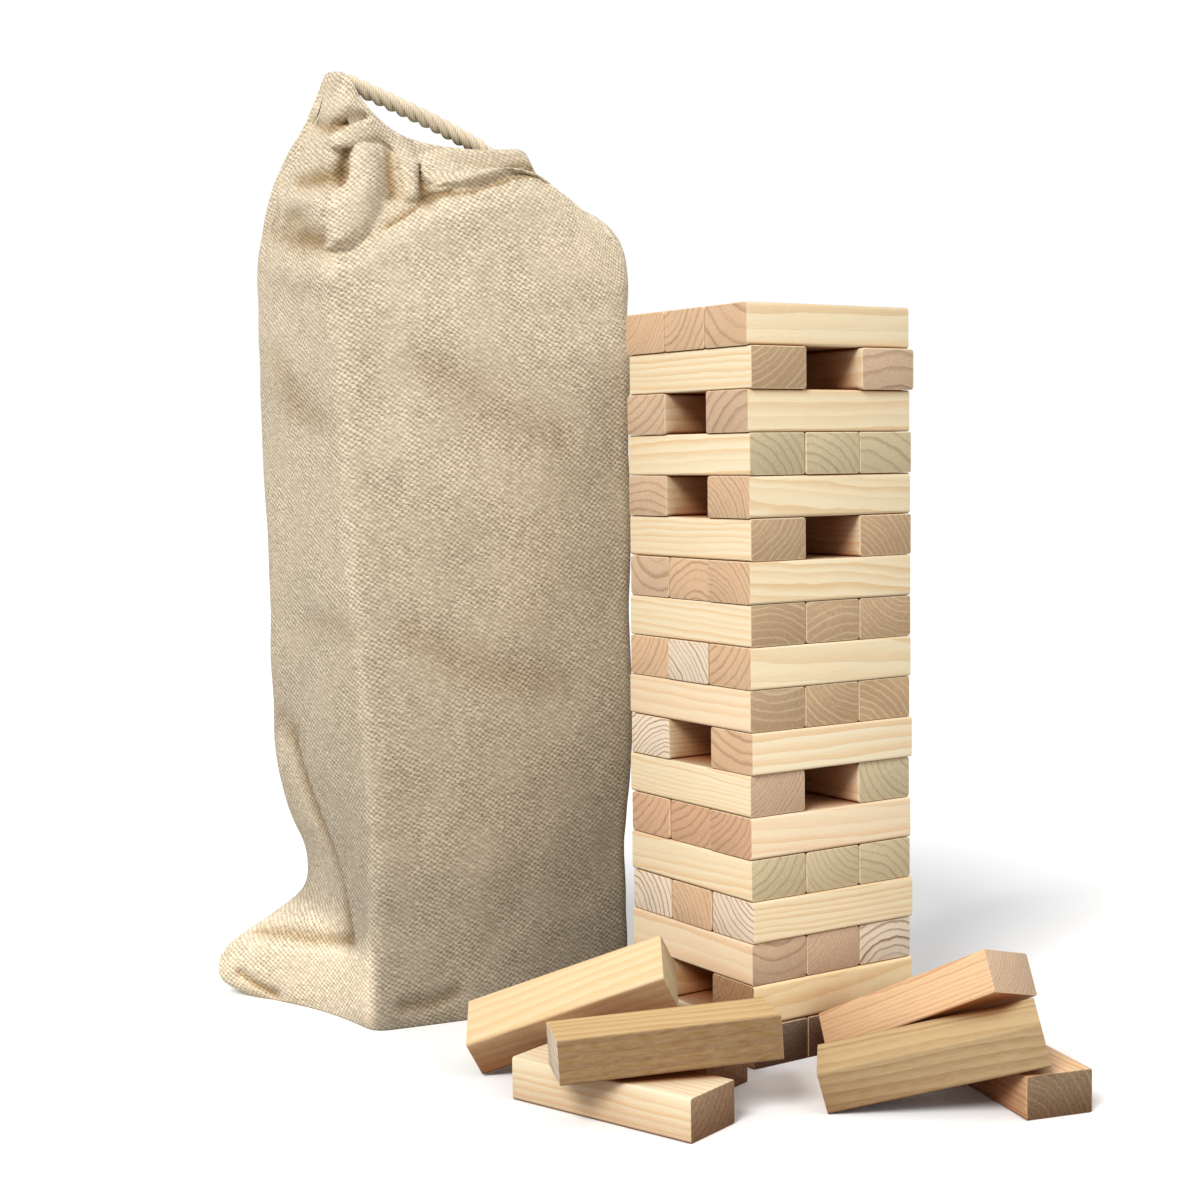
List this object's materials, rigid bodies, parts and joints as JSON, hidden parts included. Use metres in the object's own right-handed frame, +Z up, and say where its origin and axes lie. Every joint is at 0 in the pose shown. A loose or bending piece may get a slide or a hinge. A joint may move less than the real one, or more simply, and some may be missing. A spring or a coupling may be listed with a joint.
{
  "type": "giant tumbling tower",
  "caption": "Stacked wooden block tower game with drawn blocks lying round its foot and a standing canvas drawstring bag.",
  "frame": {"origin": "centre of the tower's bottom middle block at the floor", "axes": "+Z up; X and Y along the tower's faces, with the bottom layer's blocks lying along Y; the bag stands on the +Y side"},
  "size_m": [0.4971, 0.7782, 0.9346],
  "materials": {
    "pine_pale": "planed, unvarnished",
    "pine_warm": "planed, unvarnished",
    "pine_rose": "planed, unvarnished",
    "pine_straw": "planed, unvarnished",
    "canvas_natural": "coarse plain-weave cotton canvas",
    "rope_natural": "three-strand twisted cotton"
  },
  "bodies": {
    "bottom_middle_block": {"block_01_2": "pine_straw"},
    "block_01_1": {"block_01_1": "pine_pale"},
    "block_01_3": {"block_01_3": "pine_rose"},
    "block_02_1": {"block_02_1": "pine_warm"},
    "block_02_3": {"block_02_3": "pine_straw"},
    "block_03_1": {"block_03_1": "pine_rose"},
    "block_03_2": {"block_03_2": "pine_warm"},
    "block_03_3": {"block_03_3": "pine_pale"},
    "block_04_1": {"block_04_1": "pine_straw"},
    "block_04_2": {"block_04_2": "pine_rose"},
    "block_04_3": {"block_04_3": "pine_warm"},
    "block_05_1": {"block_05_1": "pine_pale"},
    "block_05_2": {"block_05_2": "pine_straw"},
    "block_05_3": {"block_05_3": "pine_rose"},
    "block_06_1": {"block_06_1": "pine_warm"},
    "block_06_2": {"block_06_2": "pine_pale"},
    "block_06_3": {"block_06_3": "pine_straw"},
    "block_07_1": {"block_07_1": "pine_rose"},
    "block_07_3": {"block_07_3": "pine_pale"},
    "block_08_1": {"block_08_1": "pine_straw"},
    "block_08_3": {"block_08_3": "pine_warm"},
    "block_09_1": {"block_09_1": "pine_pale"},
    "block_09_2": {"block_09_2": "pine_straw"},
    "block_09_3": {"block_09_3": "pine_rose"},
    "block_10_1": {"block_10_1": "pine_warm"},
    "block_10_2": {"block_10_2": "pine_pale"},
    "block_10_3": {"block_10_3": "pine_straw"},
    "block_11_1": {"block_11_1": "pine_rose"},
    "block_11_2": {"block_11_2": "pine_warm"},
    "block_11_3": {"block_11_3": "pine_pale"},
    "block_12_1": {"block_12_1": "pine_straw"},
    "block_12_2": {"block_12_2": "pine_rose"},
    "block_12_3": {"block_12_3": "pine_warm"},
    "block_13_1": {"block_13_1": "pine_pale"},
    "block_13_3": {"block_13_3": "pine_rose"},
    "block_14_1": {"block_14_1": "pine_warm"},
    "block_14_3": {"block_14_3": "pine_straw"},
    "block_15_1": {"block_15_1": "pine_rose"},
    "block_15_2": {"block_15_2": "pine_warm"},
    "block_15_3": {"block_15_3": "pine_pale"},
    "block_16_1": {"block_16_1": "pine_straw"},
    "block_16_3": {"block_16_3": "pine_warm"},
    "block_17_1": {"block_17_1": "pine_pale"},
    "block_17_3": {"block_17_3": "pine_rose"},
    "block_18_1": {"block_18_1": "pine_warm"},
    "block_18_2": {"block_18_2": "pine_pale"},
    "block_18_3": {"block_18_3": "pine_straw"},
    "loose_block_a": {"loose_block_a": "pine_pale"},
    "loose_block_b": {"loose_block_b": "pine_warm"},
    "loose_block_c": {"loose_block_c": "pine_rose"},
    "loose_block_d": {"loose_block_d": "pine_straw"},
    "loose_block_e": {"loose_block_e": "pine_pale"},
    "loose_block_f": {"loose_block_f": "pine_warm"},
    "loose_block_g": {"loose_block_g": "pine_rose"},
    "bag": {"bag_shell": "canvas_natural", "bag_drawstring_upper": "rope_natural", "bag_drawstring_lower": "rope_natural"}
  },
  "joints": [
    {"name": "block_01_1_slide", "type": "slide", "parent": "bottom_middle_block", "child": "block_01_1", "axis": [0, 1, 0], "range_m": [0, 0.06]},
    {"name": "block_01_3_slide", "type": "slide", "parent": "bottom_middle_block", "child": "block_01_3", "axis": [0, 1, 0], "range_m": [0, 0.2]},
    {"name": "block_02_1_slide", "type": "slide", "parent": "bottom_middle_block", "child": "block_02_1", "axis": [1, 0, 0], "range_m": [0, 0.2]},
    {"name": "block_02_3_slide", "type": "slide", "parent": "bottom_middle_block", "child": "block_02_3", "axis": [1, 0, 0], "range_m": [0, 0.2]},
    {"name": "block_03_1_slide", "type": "slide", "parent": "bottom_middle_block", "child": "block_03_1", "axis": [0, 1, 0], "range_m": [0, 0.06]},
    {"name": "block_03_2_slide", "type": "slide", "parent": "bottom_middle_block", "child": "block_03_2", "axis": [0, 1, 0], "range_m": [0, 0.06]},
    {"name": "block_03_3_slide", "type": "slide", "parent": "bottom_middle_block", "child": "block_03_3", "axis": [0, 1, 0], "range_m": [0, 0.2]},
    {"name": "block_04_1_slide", "type": "slide", "parent": "bottom_middle_block", "child": "block_04_1", "axis": [1, 0, 0], "range_m": [0, 0.2]},
    {"name": "block_04_2_slide", "type": "slide", "parent": "bottom_middle_block", "child": "block_04_2", "axis": [1, 0, 0], "range_m": [0, 0.2]},
    {"name": "block_04_3_slide", "type": "slide", "parent": "bottom_middle_block", "child": "block_04_3", "axis": [1, 0, 0], "range_m": [-0.2, 0.2]},
    {"name": "block_05_1_slide", "type": "slide", "parent": "bottom_middle_block", "child": "block_05_1", "axis": [0, 1, 0], "range_m": [-0.2, 0.06]},
    {"name": "block_05_2_slide", "type": "slide", "parent": "bottom_middle_block", "child": "block_05_2", "axis": [0, 1, 0], "range_m": [-0.2, 0.06]},
    {"name": "block_05_3_slide", "type": "slide", "parent": "bottom_middle_block", "child": "block_05_3", "axis": [0, 1, 0], "range_m": [-0.2, 0.2]},
    {"name": "block_06_1_slide", "type": "slide", "parent": "bottom_middle_block", "child": "block_06_1", "axis": [1, 0, 0], "range_m": [-0.2, 0.2]},
    {"name": "block_06_2_slide", "type": "slide", "parent": "bottom_middle_block", "child": "block_06_2", "axis": [1, 0, 0], "range_m": [-0.2, 0.2]},
    {"name": "block_06_3_slide", "type": "slide", "parent": "bottom_middle_block", "child": "block_06_3", "axis": [1, 0, 0], "range_m": [-0.2, 0.2]},
    {"name": "block_07_1_slide", "type": "slide", "parent": "bottom_middle_block", "child": "block_07_1", "axis": [0, 1, 0], "range_m": [-0.2, 0.06]},
    {"name": "block_07_3_slide", "type": "slide", "parent": "bottom_middle_block", "child": "block_07_3", "axis": [0, 1, 0], "range_m": [-0.2, 0.2]},
    {"name": "block_08_1_slide", "type": "slide", "parent": "bottom_middle_block", "child": "block_08_1", "axis": [1, 0, 0], "range_m": [-0.2, 0.2]},
    {"name": "block_08_3_slide", "type": "slide", "parent": "bottom_middle_block", "child": "block_08_3", "axis": [1, 0, 0], "range_m": [-0.2, 0.2]},
    {"name": "block_09_1_slide", "type": "slide", "parent": "bottom_middle_block", "child": "block_09_1", "axis": [0, 1, 0], "range_m": [-0.2, 0.06]},
    {"name": "block_09_2_slide", "type": "slide", "parent": "bottom_middle_block", "child": "block_09_2", "axis": [0, 1, 0], "range_m": [-0.2, 0.06]},
    {"name": "block_09_3_slide", "type": "slide", "parent": "bottom_middle_block", "child": "block_09_3", "axis": [0, 1, 0], "range_m": [-0.2, 0.2]},
    {"name": "block_10_1_slide", "type": "slide", "parent": "bottom_middle_block", "child": "block_10_1", "axis": [1, 0, 0], "range_m": [-0.2, 0.2]},
    {"name": "block_10_2_slide", "type": "slide", "parent": "bottom_middle_block", "child": "block_10_2", "axis": [1, 0, 0], "range_m": [-0.2, 0.2]},
    {"name": "block_10_3_slide", "type": "slide", "parent": "bottom_middle_block", "child": "block_10_3", "axis": [1, 0, 0], "range_m": [-0.2, 0.2]},
    {"name": "block_11_1_slide", "type": "slide", "parent": "bottom_middle_block", "child": "block_11_1", "axis": [0, 1, 0], "range_m": [-0.2, 0.06]},
    {"name": "block_11_2_slide", "type": "slide", "parent": "bottom_middle_block", "child": "block_11_2", "axis": [0, 1, 0], "range_m": [-0.2, 0.06]},
    {"name": "block_11_3_slide", "type": "slide", "parent": "bottom_middle_block", "child": "block_11_3", "axis": [0, 1, 0], "range_m": [-0.2, 0.2]},
    {"name": "block_12_1_slide", "type": "slide", "parent": "bottom_middle_block", "child": "block_12_1", "axis": [1, 0, 0], "range_m": [-0.2, 0.2]},
    {"name": "block_12_2_slide", "type": "slide", "parent": "bottom_middle_block", "child": "block_12_2", "axis": [1, 0, 0], "range_m": [-0.2, 0.2]},
    {"name": "block_12_3_slide", "type": "slide", "parent": "bottom_middle_block", "child": "block_12_3", "axis": [1, 0, 0], "range_m": [-0.2, 0.2]},
    {"name": "block_13_1_slide", "type": "slide", "parent": "bottom_middle_block", "child": "block_13_1", "axis": [0, 1, 0], "range_m": [-0.2, 0.06]},
    {"name": "block_13_3_slide", "type": "slide", "parent": "bottom_middle_block", "child": "block_13_3", "axis": [0, 1, 0], "range_m": [-0.2, 0.2]},
    {"name": "block_14_1_slide", "type": "slide", "parent": "bottom_middle_block", "child": "block_14_1", "axis": [1, 0, 0], "range_m": [-0.2, 0.2]},
    {"name": "block_14_3_slide", "type": "slide", "parent": "bottom_middle_block", "child": "block_14_3", "axis": [1, 0, 0], "range_m": [-0.2, 0.2]},
    {"name": "block_15_1_slide", "type": "slide", "parent": "bottom_middle_block", "child": "block_15_1", "axis": [0, 1, 0], "range_m": [-0.2, 0.06]},
    {"name": "block_15_2_slide", "type": "slide", "parent": "bottom_middle_block", "child": "block_15_2", "axis": [0, 1, 0], "range_m": [-0.2, 0.06]},
    {"name": "block_15_3_slide", "type": "slide", "parent": "bottom_middle_block", "child": "block_15_3", "axis": [0, 1, 0], "range_m": [-0.2, 0.2]},
    {"name": "block_16_1_slide", "type": "slide", "parent": "bottom_middle_block", "child": "block_16_1", "axis": [1, 0, 0], "range_m": [-0.2, 0.2]},
    {"name": "block_16_3_slide", "type": "slide", "parent": "bottom_middle_block", "child": "block_16_3", "axis": [1, 0, 0], "range_m": [-0.2, 0.2]},
    {"name": "block_17_1_slide", "type": "slide", "parent": "bottom_middle_block", "child": "block_17_1", "axis": [0, 1, 0], "range_m": [-0.2, 0.06]},
    {"name": "block_17_3_slide", "type": "slide", "parent": "bottom_middle_block", "child": "block_17_3", "axis": [0, 1, 0], "range_m": [-0.2, 0.2]},
    {"name": "block_18_1_slide", "type": "slide", "parent": "bottom_middle_block", "child": "block_18_1", "axis": [1, 0, 0], "range_m": [-0.2, 0.2]},
    {"name": "block_18_2_slide", "type": "slide", "parent": "bottom_middle_block", "child": "block_18_2", "axis": [1, 0, 0], "range_m": [-0.2, 0.2]},
    {"name": "block_18_3_slide", "type": "slide", "parent": "bottom_middle_block", "child": "block_18_3", "axis": [1, 0, 0], "range_m": [-0.2, 0.2]},
    {"name": "loose_c_slide", "type": "slide", "parent": "bottom_middle_block", "child": "loose_block_c", "axis": [-0.9489, -0.3156, 0], "range_m": [0, 0.2]},
    {"name": "loose_b_lift", "type": "slide", "parent": "loose_block_c", "child": "loose_block_b", "axis": [0, 0, 1], "range_m": [0, 0.25]},
    {"name": "loose_g_slide", "type": "slide", "parent": "bottom_middle_block", "child": "loose_block_g", "axis": [-0.3272, 0.9449, 0], "range_m": [0, 0.09]},
    {"name": "loose_a_lift", "type": "slide", "parent": "loose_block_g", "child": "loose_block_a", "axis": [0, 0, 1], "range_m": [0, 0.3]},
    {"name": "loose_f_slide", "type": "slide", "parent": "bottom_middle_block", "child": "loose_block_f", "axis": [-0.2538, -0.9673, 0], "range_m": [0, 0.2]},
    {"name": "loose_e_slide", "type": "slide", "parent": "loose_block_f", "child": "loose_block_e", "axis": [-0.6652, -0.7466, 0], "range_m": [0, 0.12]},
    {"name": "loose_d_lift", "type": "slide", "parent": "loose_block_e", "child": "loose_block_d", "axis": [0, 0, 1], "range_m": [0, 0.3]},
    {"name": "bag_lift", "type": "slide", "parent": "bottom_middle_block", "child": "bag", "axis": [0, 0, 1], "range_m": [0, 0.3]}
  ]
}
